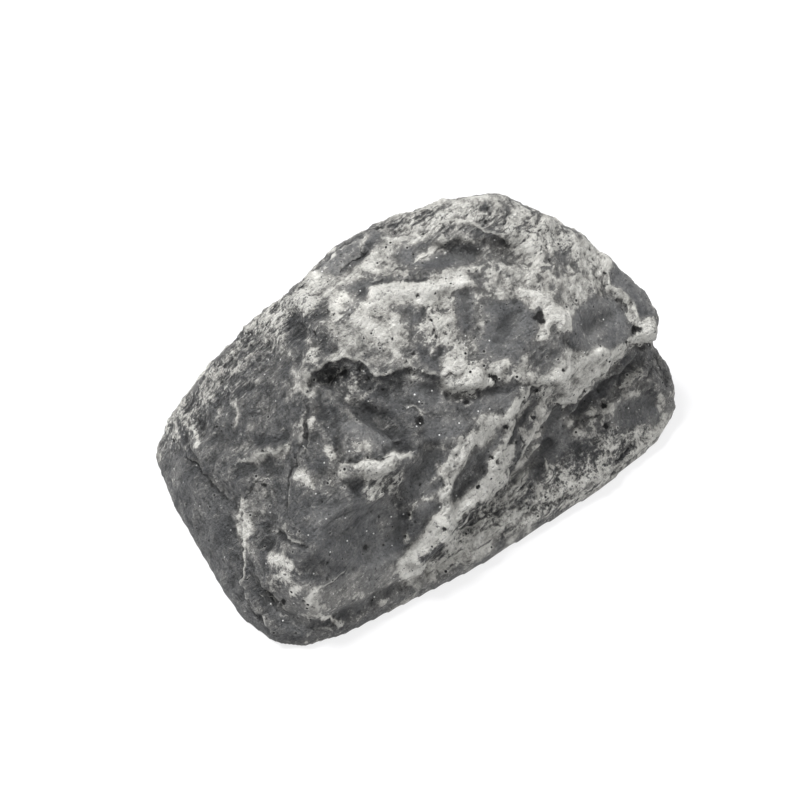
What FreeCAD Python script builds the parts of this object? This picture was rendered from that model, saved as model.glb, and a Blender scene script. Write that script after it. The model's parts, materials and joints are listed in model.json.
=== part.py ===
"""Key-hiding rock: a resin stone with a flat base, a pocket for a key, and brushed highlights.

Millimetres. +X runs along the length, +Y across to the back and +Z up. The origin lies on the
flat base, at the middle of the length and of the width.
"""
import FreeCAD, Part
import itertools
import math
import os

# ---------------------------------------------------------------- driving dimensions
BASE_LENGTH = 85.0
BASE_WIDTH = 58.5
CREST_HEIGHT = 41.0

POCKET_LENGTH = 59.0
POCKET_WIDTH = 30.0
POCKET_DEPTH = 17.0
POCKET_CORNER_RADIUS = 3.0
POCKET_CEILING_RADIUS = 2.0
POCKET_OFFSET_X = 2.0
POCKET_OFFSET_Y = -0.5

ARRIS_HEIGHT = 2.9
COAT_THICKNESS = 0.3
COAT_LOWEST = 2.5

# ---------------------------------------------------------------- corners of the rock's lumps
# A corner is (along, across, up), in hundredths of half the length, half the width and the height.
BASE_OUTLINE = [
    (-100, -38), (-97, -60), (-90, -72), (-76, -80), (-61, -84), (-19, -94), (42, -100),
    (75, -97), (90, -89), (96, -75), (99, -52), (100, 0), (95, 60), (83, 90), (64, 100),
    (-19, 100), (-60, 94), (-76, 88), (-84, 76), (-91, 43), (-96, 3), (-99, -20),
]

# The broad lower slab, which carries the rest and steps out below the overhang.
LOWER_SLAB = [
    (-59, -58, 20), (-17, -70, 15), (18, -67, 27), (48, -63, 32), (76, -61, 38), (95, -63, 24),
    (98, -72, 15), (90, -88, 14), (100, -46, 15), (99, 14, 27), (87, 65, 34), (47, 85, 39),
    (-47, 87, 32), (-73, 74, 27), (-86, 34, 26), (-81, -7, 35), (-96, -34, 17),
]

# The crest, with the peak to the right of the middle and an overhanging rim at the front right.
CREST = [
    (-40, 10, 76), (-24, 51, 80), (2, 55, 86), (16, 52, 89), (27, 43, 93), (37, 34, 96),
    (52, 14, 100), (67, -6, 89), (77, -12, 79), (83, -16, 73), (89, -33, 61), (96, -50, 46),
    (96, -61, 40), (76, -66, 41), (63, -67, 39), (48, -68, 32), (18, -62, 34), (36, -66, 56),
    (58, -66, 53), (44, -54, 70), (-5, -41, 67), (-23, -19, 73), (-26, 7, 83), (52, 48, 78),
    (78, 46, 61), (85, 58, 33), (94, 12, 28), (40, 82, 38), (-24, 80, 44), (-24, 76, 12),
    (40, 78, 12), (84, 50, 12), (92, -48, 14), (0, -50, 12),
]

# The left shoulder, whose ridge runs down to the left front corner.
SHOULDER = [
    (-40, 9, 74), (-25, 50, 78), (-29, 57, 74), (-37, 61, 68), (-48, 62, 59), (-63, 67, 46),
    (-74, 75, 29), (-2, 50, 77), (-82, -58, 43), (-79, -3, 41), (-80, 41, 32), (-93, -44, 20),
    (-87, -70, 10), (-84, -67, 30), (-79, -75, 18), (-33, -85, 10), (-6, -44, 65), (-24, -21, 71),
    (-24, -67, 46), (10, -40, 12), (10, 50, 12), (-33, 79, 41),
]

# The buttress that props the crest at the front, between the shoulder and the overhang.
BUTTRESS = [
    (-5, -46, 63), (19, -60, 59), (34, -66, 52), (18, -73, 26), (7, -74, 22), (-17, -79, 12),
    (-33, -85, 5), (-34, -83, 18), (-22, -81, 25), (-52, -77, 20), (-21, -60, 52), (0, 0, 12),
    (35, -17, 12),
]

# The cheek below the crown, which ends in a sharp wedge over the front hollow.
CHEEK = [
    (-44, -28, 65), (-39, -33, 65), (-51, -40, 59), (-36, -53, 58), (-36, -57, 55), (-54, -45, 58),
    (-37, -58, 50), (-62, -26, 44), (-24, -42, 44), (-42, -48, 30), (-36, -12, 52),
]

# Hollows worn into the lumps: the corners of each one's floor, then those of its brim, which stand
# just clear of the stone. The front hollow leaves a wall of 2 mm to the pocket.
HOLLOWS = {
    "front": (
        [(-62, -59, 39), (-43, -61, 40), (-55, -66, 29), (-42, -68, 30)],
        [(-73, -50, 52), (-42, -61, 52), (-30, -69, 45), (-32, -81, 33), (-41, -87, 20),
         (-57, -86, 16), (-71, -81, 22), (-80, -71, 35)],
    ),
    "left flank": (
        [(-73, -4, 45), (-84, -33, 32)],
        [(-84, -4, 34), (-75, 6, 48), (-68, -20, 53), (-77, -45, 49), (-88, -50, 38),
         (-95, -33, 22)],
    ),
    "beside the vein": (
        [(-35, -61, 43), (-28, -58, 47), (-20, -57, 49)],
        [(-41, -62, 43), (-35, -57, 59), (-20, -53, 57), (-14, -62, 53), (-19, -72, 40),
         (-31, -74, 35)],
    ),
    "below the crown": (
        [(-38, 3, 70), (-30, -8, 71), (-30, -28, 63), (-26, -41, 60)],
        [(-43, 2, 72), (-36, 1, 76), (-26, -11, 76), (-21, -29, 68), (-22, -48, 62), (-28, -46, 57),
         (-36, -38, 65), (-42, -7, 70)],
    ),
    "under the ledge": (
        [(80, -61, 30), (58, -65, 31), (40, -67, 26)],
        [(88, -66, 30), (78, -78, 28), (55, -82, 23), (32, -84, 22), (86, -80, 36), (60, -88, 34),
         (30, -84, 30)],
    ),
    "under the rib": (
        [(33, -68, 24), (16, -74, 20), (-2, -78, 17)],
        [(32, -84, 22), (14, -87, 16), (-4, -86, 15), (-16, -84, 13), (30, -82, 30), (4, -88, 26),
         (-16, -90, 18)],
    ),
    "crest valley": (
        [(20, 11, 91), (50, -16, 84)],
        [(12, 28, 92), (25, 15, 96), (37, 3, 95), (54, -12, 90), (56, -25, 84), (46, -25, 85),
         (30, -10, 89), (14, 6, 91), (7, 18, 91)],
    ),
    "right face": (
        [(58, -54, 59), (74, -51, 55)],
        [(50, -50, 74), (66, -40, 73), (85, -46, 60), (84, -63, 48), (53, -65, 60)],
    ),
    "front of the crest": (
        [(18, -38, 72), (27, -36, 72), (36, -34, 76)],
        [(12, -34, 74), (12, -46, 69), (28, -48, 71), (43, -40, 78), (34, -29, 80), (22, -28, 78)],
    ),
}

# Where the dry brush caught the stone, seen from above, in hundredths of half the length and width.
BRUSHED_AREAS = {
    "crest": [
        (-28, 5), (-20, 34), (-2, 44), (18, 40), (38, 24), (52, 6), (66, -10), (79, -24), (88, -46),
        (93, -66), (76, -70), (62, -58), (52, -40), (40, -47), (22, -52), (6, -40), (-6, -20),
        (-20, -12),
    ],
    "shoulder": [(-49, 8), (-42, 30), (-32, 38), (-31, 12), (-33, -8), (-44, -22), (-54, -14)],
    "ridge": [(-78, -46), (-70, -38), (-58, -40), (-62, -56), (-74, -62)],
    "hollow edge": [(-34, -38), (-20, -30), (-12, -40), (-18, -54), (-30, -50)],
    "buttress": [(-8, -60), (8, -64), (26, -70), (18, -80), (-6, -84), (-26, -92), (-20, -76)],
    "slab": [
        (28, -82), (44, -76), (60, -80), (76, -72), (88, -78), (84, -88), (64, -90), (44, -93),
        (24, -93),
    ],
    "front lip": [(-78, -72), (-64, -76), (-50, -82), (-56, -87), (-74, -82)],
}

PLANE_TOLERANCE = 1.0e-6
LEAST_TRIANGLE = 1.0e-6


def corner(along, across, up):
    """Place a corner, given in hundredths, at its real size."""
    x = along / 100.0 * BASE_LENGTH / 2.0
    y = across / 100.0 * BASE_WIDTH / 2.0
    z = up / 100.0 * CREST_HEIGHT
    return FreeCAD.Vector(x, y, z)


def facets_of(corners):
    """List the flat facets of the convex lump round some corners, each as a polygon."""
    normals = {}
    for first, second, third in itertools.combinations(corners, 3):
        normal = (second - first).cross(third - first)
        if normal.Length < LEAST_TRIANGLE:
            continue
        normal.normalize()
        heights = [(point - first).dot(normal) for point in corners]
        if max(heights) > PLANE_TOLERANCE and min(heights) < -PLANE_TOLERANCE:
            continue
        if max(heights) > PLANE_TOLERANCE:
            normal = normal * -1.0
        on_plane = [index for index, height in enumerate(heights) if abs(height) <= PLANE_TOLERANCE]
        normals[tuple(on_plane)] = normal
    return [ring([corners[i] for i in on_plane], normal) for on_plane, normal in normals.items()]


def ring(points, normal):
    """Put the points of one facet in order round it, and leave out those inside its edges."""
    middle = centre_of(points)
    across = (points[0] - middle).normalize()
    along = normal.cross(across)

    def turn(point):
        return math.atan2((point - middle).dot(along), (point - middle).dot(across))

    ordered = sorted(points, key=turn)
    kept = []
    for before, point, after in zip(ordered[-1:] + ordered[:-1], ordered, ordered[1:] + ordered[:1]):
        if (point - before).cross(after - point).dot(normal) > LEAST_TRIANGLE:
            kept.append(point)
    return kept


def centre_of(points):
    total = FreeCAD.Vector(0, 0, 0)
    for point in points:
        total = total + point
    return total * (1.0 / len(points))


def flat_face(polygon):
    return Part.Face(Part.makePolygon(polygon + polygon[:1]))


def lump(corners):
    """Close the facets round some corners into a solid."""
    shell = Part.makeShell([flat_face(polygon) for polygon in facets_of(corners)])
    shell.sewShape()
    solid = Part.makeSolid(shell)
    if solid.Volume < 0:
        solid.reverse()
    return solid


def key_pocket():
    """The space left for the key: a box with round corners, open at the base."""
    left = POCKET_OFFSET_X - POCKET_LENGTH / 2.0
    front = POCKET_OFFSET_Y - POCKET_WIDTH / 2.0
    below = POCKET_DEPTH
    space = Part.makeBox(
        POCKET_LENGTH, POCKET_WIDTH, POCKET_DEPTH + below, FreeCAD.Vector(left, front, -below)
    )
    upright = [edge for edge in space.Edges if edge.BoundBox.ZLength > POCKET_DEPTH]
    space = space.makeFillet(POCKET_CORNER_RADIUS, upright)
    ceiling = [edge for edge in space.Edges if edge.BoundBox.ZMin > POCKET_DEPTH / 2.0]
    return space.makeFillet(POCKET_CEILING_RADIUS, ceiling)


def slab_corners():
    """The base outline, the same outline at the top of the arris, and the slab's upper corners."""
    outline = [corner(along, across, 0) for along, across in BASE_OUTLINE]
    arris = [point + FreeCAD.Vector(0, 0, ARRIS_HEIGHT) for point in outline]
    return outline + arris + [corner(*place) for place in LOWER_SLAB]


def lump_corners():
    """The corners of every lump of the stone, the slab first."""
    upper = (CREST, SHOULDER, BUTTRESS, CHEEK)
    return [slab_corners()] + [[corner(*place) for place in places] for places in upper]


def worn_hollows(lift):
    """The solids that wear the hollows into the stone, each moved outwards by the lift."""
    solids = []
    for floor, brim in HOLLOWS.values():
        floor_corners = [corner(*place) for place in floor]
        brim_corners = [corner(*place) for place in brim]
        outwards = (centre_of(brim_corners) - centre_of(floor_corners)).normalize() * lift
        solids.append(lump([point + outwards for point in floor_corners + brim_corners]))
    return solids


def make_stone(all_corners):
    """The lumps run together into one stone, before the pocket is let into its base."""
    first, *others = [lump(corners) for corners in all_corners]
    return first.multiFuse(others).cut(worn_hollows(0.0)).removeSplitter()


def grown(corners):
    """Move each corner of a lump away from its middle by the thickness of the paint."""
    middle = centre_of(corners)
    return [point + (point - middle).normalize() * COAT_THICKNESS for point in corners]


def brushed_column(outline):
    """The upright column over one brushed area, from just above the base to over the crest."""
    lift = FreeCAD.Vector(0, 0, COAT_LOWEST)
    floor = [corner(along, across, 0) + lift for along, across in outline]
    return flat_face(floor).extrude(FreeCAD.Vector(0, 0, CREST_HEIGHT))


def make_coat(all_corners, stone):
    """Paint left by a dry brush: a film over the lumps, kept inside the brushed areas."""
    first_lump, *other_lumps = [lump(grown(corners)) for corners in all_corners]
    skin = first_lump.multiFuse(other_lumps).cut(worn_hollows(COAT_THICKNESS))
    first, *others = [brushed_column(outline) for outline in BRUSHED_AREAS.values()]
    return skin.common(first.multiFuse(others)).cut(stone)


def main():
    all_corners = lump_corners()
    stone = make_stone(all_corners)
    casting = stone.cut(key_pocket())
    coat = make_coat(all_corners, stone)
    os.makedirs("parts", exist_ok=True)
    for node, shape in {"rock_casting": casting, "highlight_coat": coat}.items():
        shape.exportStep("parts/" + node + ".step")
        box = shape.BoundBox
        print(
            node, "solids", len(shape.Solids), "valid", shape.isValid(),
            "volume", round(shape.Volume, 1), "box", round(box.XMin, 2), round(box.XMax, 2),
            round(box.YMin, 2), round(box.YMax, 2), round(box.ZMin, 2), round(box.ZMax, 2),
        )


main()
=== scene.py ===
# %% [markdown]
# A key-hiding rock is one casting: stone-filled resin is poured into a mould taken from a real
# stone, the flat back is sanded and a pocket is left in it. Off-white paint is then dragged over
# the raised places with an almost dry brush. The lesson starts from the plain solid, whose lumps
# give the size, and turns its surface into weathered stone.

# %% Load the frame
import json
import math
import bpy
import numpy as np
from mathutils import Matrix, Vector, noise
from mathutils.bvhtree import BVHTree


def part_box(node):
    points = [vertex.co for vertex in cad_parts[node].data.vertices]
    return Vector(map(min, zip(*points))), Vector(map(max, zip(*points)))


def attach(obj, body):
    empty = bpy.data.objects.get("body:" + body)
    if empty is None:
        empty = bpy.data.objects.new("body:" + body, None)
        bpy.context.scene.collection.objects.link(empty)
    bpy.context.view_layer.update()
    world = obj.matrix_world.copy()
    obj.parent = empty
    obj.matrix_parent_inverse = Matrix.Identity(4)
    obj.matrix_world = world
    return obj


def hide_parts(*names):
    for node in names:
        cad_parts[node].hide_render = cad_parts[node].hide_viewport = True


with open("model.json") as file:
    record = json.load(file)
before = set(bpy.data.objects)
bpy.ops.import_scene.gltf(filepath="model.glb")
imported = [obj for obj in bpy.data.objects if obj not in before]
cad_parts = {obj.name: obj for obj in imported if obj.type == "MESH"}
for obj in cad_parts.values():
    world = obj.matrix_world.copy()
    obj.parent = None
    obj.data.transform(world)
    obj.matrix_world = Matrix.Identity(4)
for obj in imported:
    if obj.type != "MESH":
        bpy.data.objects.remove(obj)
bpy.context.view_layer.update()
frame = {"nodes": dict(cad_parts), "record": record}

MM = 0.001
casting = frame["nodes"]["rock_casting"]
LOW, HIGH = [np.array(corner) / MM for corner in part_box("rock_casting")]
print("casting from", LOW.round(2), "to", HIGH.round(2), "mm")

# %% [markdown]
# The camera comes first, because marks on the stone are placed by where the camera sees them. It
# stands in front and to the left, well above the stone, and looks down at it through a long lens.

# %% Camera
FRAME_SIZE = 800
VIEW_AZIMUTH = math.radians(-39.65)
VIEW_ELEVATION = math.radians(52.69)
VIEW_DISTANCE = 300.0
VIEW_TARGET = np.array([4.47, 6.67, 0.0])
LENS_IN_FRAME = 1730.57
SENSOR = 36.0
CLIP_START = 0.01

view_right = np.array([math.cos(VIEW_AZIMUTH), math.sin(VIEW_AZIMUTH), 0.0])
view_forward = np.array([
    -math.sin(VIEW_AZIMUTH) * math.cos(VIEW_ELEVATION),
    math.cos(VIEW_AZIMUTH) * math.cos(VIEW_ELEVATION),
    -math.sin(VIEW_ELEVATION),
])
view_up = np.cross(view_right, view_forward)
view_from = VIEW_TARGET - view_forward * VIEW_DISTANCE

camera_data = bpy.data.cameras.new("camera")
camera_data.sensor_width = SENSOR
camera_data.lens = LENS_IN_FRAME / FRAME_SIZE * SENSOR
camera_data.clip_start = CLIP_START
camera = bpy.data.objects.new("camera", camera_data)
turn = Matrix((view_right, view_up, -view_forward)).transposed().to_4x4()
camera.matrix_world = Matrix.Translation(Vector(view_from * MM)) @ turn
bpy.context.scene.collection.objects.link(camera)
bpy.context.scene.camera = camera
print("lens", round(camera_data.lens, 2), "mm, camera at", view_from.round(1), "mm")

# %% [markdown]
# The plain solid has long thin triangles, which cannot take fine relief. A voxel remesh turns it
# into an even net of small squares, closed and clean, and every later step moves those points.

# %% An even net over the solid
VOXEL = 0.46


def even_net(source, voxel, name):
    """Copy a node's mesh and rebuild it as an even net of squares."""
    piece = bpy.data.objects.new(name, source.data.copy())
    piece.data.materials.clear()
    bpy.context.scene.collection.objects.link(piece)
    remesh = piece.modifiers.new("even net", "REMESH")
    remesh.mode = "VOXEL"
    remesh.voxel_size = voxel * MM
    bpy.context.view_layer.update()
    graph = bpy.context.evaluated_depsgraph_get()
    mesh = bpy.data.meshes.new_from_object(piece.evaluated_get(graph))
    piece.modifiers.clear()
    piece.data = mesh
    mesh.name = name
    return piece


def read_rows(items, kind, columns, number=float):
    """Read one property of all points, edges or faces, as a row of numbers each."""
    flat = np.empty(len(items) * columns, number)
    items.foreach_get(kind, flat)
    return flat.reshape(-1, columns)


rock = even_net(casting, VOXEL, "weathered_rock")
points = read_rows(rock.data.vertices, "co", 3) / MM
edges = read_rows(rock.data.edges, "vertices", 2, int)
print("net:", len(points), "points,", len(rock.data.polygons), "squares")

# %% [markdown]
# The casting has three kinds of surface: the weathered outside, the sanded base and the pocket.
# The base is the flat part at height zero. The pocket is found from the opening that the record
# states, which is a little smaller than the pocket itself.

# %% Base, pocket and outside
BASE_TOLERANCE = 0.12
POCKET_REACH = 1.6

pocket_low, pocket_high = np.array(frame["record"]["physics"]["openings"][0]["box_m"]) / MM
near_pocket = np.all(points[:, :2] > pocket_low[:2] - POCKET_REACH, axis=1)
near_pocket &= np.all(points < pocket_high + POCKET_REACH, axis=1)
on_base = points[:, 2] < BASE_TOLERANCE
in_pocket = near_pocket & ~on_base
mouth = near_pocket & on_base
outside = ~(on_base | in_pocket)
print("outside", outside.sum(), "base", on_base.sum(), "pocket", in_pocket.sum())

# %% [markdown]
# Cast stone has no flat facets with knife edges. Each point moves part of the way to the middle
# of its neighbours, and then a little more of the way back, which rounds the edges and keeps the
# size. The base stays flat, and the pocket stays as it was moulded.

# %% Round the facets
ROUNDING_STEPS = 22
STEP_IN = 0.5
STEP_BACK = -0.52

valence = np.bincount(edges.ravel(), minlength=len(points))


def neighbour_mean(values):
    """The mean of each point's neighbours, for one value or several a point."""
    columns = values.reshape(len(values), -1)
    total = np.empty_like(columns, dtype=float)
    for column in range(columns.shape[1]):
        sent = np.concatenate([columns[edges[:, 1], column], columns[edges[:, 0], column]])
        sinks = np.concatenate([edges[:, 0], edges[:, 1]])
        total[:, column] = np.bincount(sinks, weights=sent, minlength=len(values))
    return (total / valence[:, None]).reshape(values.shape)


def smoothed(values, steps):
    for _ in range(steps):
        values = 0.5 * values + 0.5 * neighbour_mean(values)
    return values


def store(mesh, positions):
    mesh.vertices.foreach_set("co", (positions * MM).ravel())
    mesh.update()


movable = outside | (on_base & ~mouth)
for _ in range(ROUNDING_STEPS):
    for amount in (STEP_IN, STEP_BACK):
        move = (neighbour_mean(points) - points) * movable[:, None] * amount
        move[on_base, 2] = 0.0
        points = points + move
store(rock.data, points)
print("rounded box", points.min(0).round(2), points.max(0).round(2))

# %% [markdown]
# Marks are given by where the camera sees them, in the 800 by 800 frame, and act on every point
# of the net that the camera sees there. A ray from the camera to each point tells which points
# it sees. The edge of that area is softened, so that no mark ends in a hard line.

# %% Where the camera sees each point
SEEN_SLACK = 0.5
SEEN_SOFTENING = 4
SEEN_ENOUGH = 0.3


def view_of(positions):
    """The place of each point in the camera's frame, and its depth."""
    from_camera = positions - view_from
    depth = from_camera @ view_forward
    across = FRAME_SIZE / 2 + LENS_IN_FRAME * (from_camera @ view_right) / depth
    down = FRAME_SIZE / 2 - LENS_IN_FRAME * (from_camera @ view_up) / depth
    return np.column_stack([across, down]), depth


def seen_points(mesh, positions):
    squares = [square.vertices[:] for square in mesh.polygons]
    tree = BVHTree.FromPolygons(positions.tolist(), squares)
    origin = Vector(view_from)
    seen = np.zeros(len(positions))
    for index in np.nonzero(outside)[0]:
        ray = Vector(positions[index]) - origin
        far = ray.length
        hit = tree.ray_cast(origin, ray / far)[3]
        seen[index] = 1.0 if hit is not None and hit > far - SEEN_SLACK else 0.0
    return seen


view, depth = view_of(points)
seen = smoothed(seen_points(rock.data, points), SEEN_SOFTENING) * outside
px_to_mm = depth / LENS_IN_FRAME
print("seen points", int((seen > 0.5).sum()), "one pixel is", px_to_mm[outside].mean().round(3), "mm")

# %% [markdown]
# A mark is a path in the camera's frame, written as pairs of pixels: one place, a line, or an
# outline that ends where it starts. Its reach at a point of the net is how far inside the mark
# that point lies, in pixels, and negative outside it.

# %% How far inside a mark


def places_in(path):
    """The places of a path such as "120,340 125,338"."""
    return np.array([pair.split(",") for pair in path.split()], float)


def off_line(at, start, end):
    """The way to each point from the nearest place on a line."""
    run = end - start
    along = np.clip(((at - start) @ run) / (run @ run), 0, 1)
    return at - start - along[:, None] * run


def reach(path, half_width=0.0, at=None):
    """Pixels inside a line's width, or inside the outline where the path closes."""
    at = view if at is None else at
    corners = places_in(path)
    if len(corners) == 1:
        return half_width - np.hypot(*(at - corners[0]).T)
    nearest = np.full(len(at), np.inf)
    inside = np.zeros(len(at), bool)
    for start, end in zip(corners[:-1], corners[1:]):
        nearest = np.minimum(nearest, np.hypot(*off_line(at, start, end).T))
        crosses = (start[1] > at[:, 1]) != (end[1] > at[:, 1])
        across, rise = end - start
        crosses &= at[:, 0] < start[0] + (at[:, 1] - start[1]) * across / (rise or 1.0)
        inside ^= crosses
    if np.array_equal(corners[0], corners[-1]):
        return np.where(inside, nearest, -nearest) + half_width
    return half_width - nearest


def side_of(path, at):
    """Signed pixels from a line, positive on its left as seen in the frame."""
    corners = places_in(path)
    nearest = np.full(len(at), np.inf)
    signed = np.zeros(len(at))
    for start, end in zip(corners[:-1], corners[1:]):
        run = end - start
        offset = off_line(at, start, end)
        distance = np.hypot(*offset.T)
        turn_of = offset[:, 0] * run[1] - offset[:, 1] * run[0]
        closer = distance < nearest
        signed = np.where(closer, np.where(turn_of > 0, distance, -distance), signed)
        nearest = np.minimum(nearest, distance)
    return signed


def ramp(values, low, high):
    """A soft step from nothing at the low value to one at the high value."""
    share = np.clip((values - low) / (high - low), 0, 1)
    return share * share * (3 - 2 * share)

# %% [markdown]
# Where the mould was smooth, the stone is smooth too. These patches have less of the fine relief
# and take less paint.

# %% Smooth patches
SMOOTH_EDGE = 6.0
SMOOTH_PATCHES = {
    "upper left facet": "306,279 330,255 350,243 372,229 378,240 362,252 345,268 340,275 306,279",
    "crown left": "350,282 370,282 372,292 375,302 360,306 348,316 335,305 333,295 350,282",
    "crown middle": "400,305 415,302 422,312 412,325 400,330 400,305",
    "crown upright": "457,280 474,282 473,318 462,330 456,310 457,280",
    "crown right": ("479,303 529,302 531,313 533,327 539,338 524,348 517,366 499,374 482,360 477,340 "
        "489,321 479,303"),
    "right shoulder": ("566,322 583,303 607,298 622,308 632,326 627,337 612,346 596,352 580,352 "
        "570,342 566,322"),
    "crest valley": "402,247 430,242 455,246 480,247 478,262 450,268 420,268 402,262 402,247",
    "right end": "610,257 626,268 645,295 654,316 640,316 627,298 612,288 610,257",
    "under the crown": "405,388 420,382 445,390 452,405 440,412 425,405 405,388",
    "middle of the front": "422,428 440,418 462,416 468,430 450,440 425,442 422,428",
    "above the rib": "470,405 490,393 505,390 516,400 508,411 490,410 475,415 470,405",
    "beside the rib": "480,465 488,447 497,432 501,440 494,452 486,466 480,465",
    "deep hollow": ("402,492 415,465 428,452 443,450 449,463 436,474 432,495 443,505 440,518 412,512 "
        "402,492"),
    "slab middle": "540,412 560,406 574,422 572,440 560,458 545,465 530,460 523,450 535,430 540,412",
    "slab lobe": "505,478 512,468 523,472 525,480 515,487 505,478",
    "second slab lobe": "528,480 535,468 545,470 548,480 540,487 528,480",
    "slab right": "612,402 640,400 655,396 661,410 655,419 640,425 625,431 613,420 612,402",
    "front hollow": "312,512 345,503 390,503 402,520 400,558 380,572 340,568 314,552 312,512",
    "front lip": "262,600 300,580 345,572 400,566 418,574 362,608 322,630 286,630 262,600",
    "cheek": "338,425 360,416 385,436 400,446 380,452 352,440 338,425",
}

smoothness = np.zeros(len(points))
for outline in SMOOTH_PATCHES.values():
    smoothness = np.maximum(smoothness, ramp(reach(outline), -SMOOTH_EDGE, SMOOTH_EDGE) * seen)
print("smooth patches cover", int((smoothness > 0.5).sum()), "points")

# %% [markdown]
# Weathered stone is rough at several scales at once: broad lumps, knuckles a few millimetres
# across, chips and fine grain. Ridged noise gives sharp crests with rounded hollows between them,
# which looks broken, and plain noise gives the soft unevenness under it.

# %% Weathering at several scales
LUMP_SIZE = 15.0
LUMP_HEIGHT = 0.45
KNUCKLE_SIZE = 5.5
KNUCKLE_HEIGHT = 0.5
CHIP_SIZE = 2.2
CHIP_HEIGHT = 0.30
GRAIN_SIZE = 0.9
GRAIN_HEIGHT = 0.12
FINE_LEFT_ON_SMOOTH = 0.25
RIDGE_FALL = 0.9
RIDGE_STEP = 2.1
RIDGE_OFFSET = 1.0
RIDGE_GAIN = 2.0


def soft_noise(positions, size, octaves):
    return np.array([noise.fractal(place, 1.0, 2.0, octaves) for place in (positions / size).tolist()])


def ridged_noise(positions, size, octaves):
    ridges = [noise.ridged_multi_fractal(place, RIDGE_FALL, RIDGE_STEP, octaves, RIDGE_OFFSET,
                                         RIDGE_GAIN) for place in (positions / size).tolist()]
    return np.array(ridges) - np.mean(ridges)


lumps = soft_noise(points, LUMP_SIZE, 2) * LUMP_HEIGHT
knuckles = ridged_noise(points, KNUCKLE_SIZE, 3) * KNUCKLE_HEIGHT
chips = soft_noise(points, CHIP_SIZE, 3) * CHIP_HEIGHT
grain = soft_noise(points, GRAIN_SIZE, 2) * GRAIN_HEIGHT
fine_share = 1 - (1 - FINE_LEFT_ON_SMOOTH) * smoothness
relief = lumps + (knuckles + chips + grain) * fine_share
print("relief from", relief.min().round(2), "to", relief.max().round(2), "mm")

# %% [markdown]
# The main forms between the facets are cut one by one. The first are soft hollows and swells, each
# with its half width in pixels, its depth or height in millimetres and its path.

# %% Hollows and swells
HOLLOWS = {
    "under the left shoulder": (16, 1.1, "299,332"),
    "front": (50, 0.3, "330,530 365,540 385,525"),
    "beside the front vein": (24, 0.3, "412,495 425,468 440,458"),
    "cheek shadow": (14, 0.4, "345,396 368,416 385,430 402,443"),
    "deep shadow": (11, 0.3, "387,416 400,438"),
    "below the crown edge": (16, 0.2, "318,384 332,380 352,384 376,396 392,406"),
    "under the crown": (24, 0.7, "400,395 430,398"),
    "crest valley": (15, 0.3, "400,257 440,256 478,254"),
    "below the peak": (14, 0.2, "468,256 500,256 530,260"),
    "left face": (20, 0.8, "204,424 226,436"),
    "left face low": (20, 0.2, "262,500 268,540"),
    "left ledge shadow": (12, 0.6, "245,472 268,470 290,464"),
    "dark under the shoulder": (16, 0.7, "264,347 262,368"),
    "leaf hollow": (7, 0.9, "545,402 553,398 562,396"),
    "slab dip": (26, 0.15, "535,455 560,425 600,400"),
    "lobe": (11, 0.7, "514,478"),
    "second lobe": (11, 0.7, "538,477"),
    "olive hollow": (7, 0.7, "424,560 440,546"),
    "low left slit": (7, 0.8, "275,533 290,540 303,545"),
    "top notch": (9, 0.7, "393,231 408,229"),
    "crown right": (18, 0.1, "505,318 505,350"),
    "right shoulder": (26, 0.1, "585,330 605,322"),
    "crown left dip": (12, 0.6, "345,300 360,292"),
    "crown middle dip": (11, 0.5, "408,316"),
    "crown upright dip": (9, 0.45, "465,290 467,318"),
    "inner step hollow": (9, 0.7, "538,402 524,425"),
    "between the veins": (11, 0.6, "462,495 478,470 492,444"),
    "slab right dip": (18, 0.7, "625,412 648,405"),
}
SWELLS = {
    "wedge": (16, 0.5, "345,474 372,472 394,463"),
    "cheek": (22, 0.4, "350,434 378,444"),
    "above the cheek shadow": (12, 0.9, "366,398 392,408"),
    "white band": (10, 0.8, "372,295 420,291 468,284"),
    "left blob": (14, 1, "290,304 312,304"),
    "front vein": (7, 0.9, "470,443 460,463 450,482 447,520 438,545 415,560"),
    "rib": (10, 0.8, "522,440 512,462 492,490 470,505 450,530"),
    "crescent": (6, 0.7, "535,294 550,301 562,316 560,328"),
    "nose": (10, 1, "648,330"),
    "low front": (22, 0.3, "285,575 315,600"),
    "front lip": (14, 0.5, "320,612 360,600"),
    "crown left": (16, 1, "325,330 350,340"),
    "crown low": (14, 0.9, "450,380 478,380"),
    "ledge right": (12, 0.4, "560,378 600,352"),
    "slab shoulder": (12, 0.8, "640,372 655,385"),
    "slab under the ledge": (16, 0.5, "632,358 614,374 596,392"),
    "left shelf": (9, 0.8, "250,455 285,447"),
    "ridge": (9, 0.8, "312,395 310,430"),
}


def bump_along(path, half_width):
    """One on the line, nothing at its half width."""
    return ramp(reach(path, half_width), 0.0, half_width) * seen


for half_width, amount, path in HOLLOWS.values():
    relief -= amount * bump_along(path, half_width)
for half_width, amount, path in SWELLS.values():
    relief += amount * bump_along(path, half_width)
print(len(HOLLOWS), "hollows and", len(SWELLS), "swells")

# %% [markdown]
# Then come steps, where one layer of the stone stands over the next, and thin cracks. A step has
# its height, how far it fades in pixels and its path; the layer on the path's left is the upper
# one, or the lower one where the height is negative. A crack has its depth, its width in pixels
# and its path. No break in stone runs straight, so noise shifts where each point counts as seen:
# a broad waver bends the lines, and a fine one makes them ragged.

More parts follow.
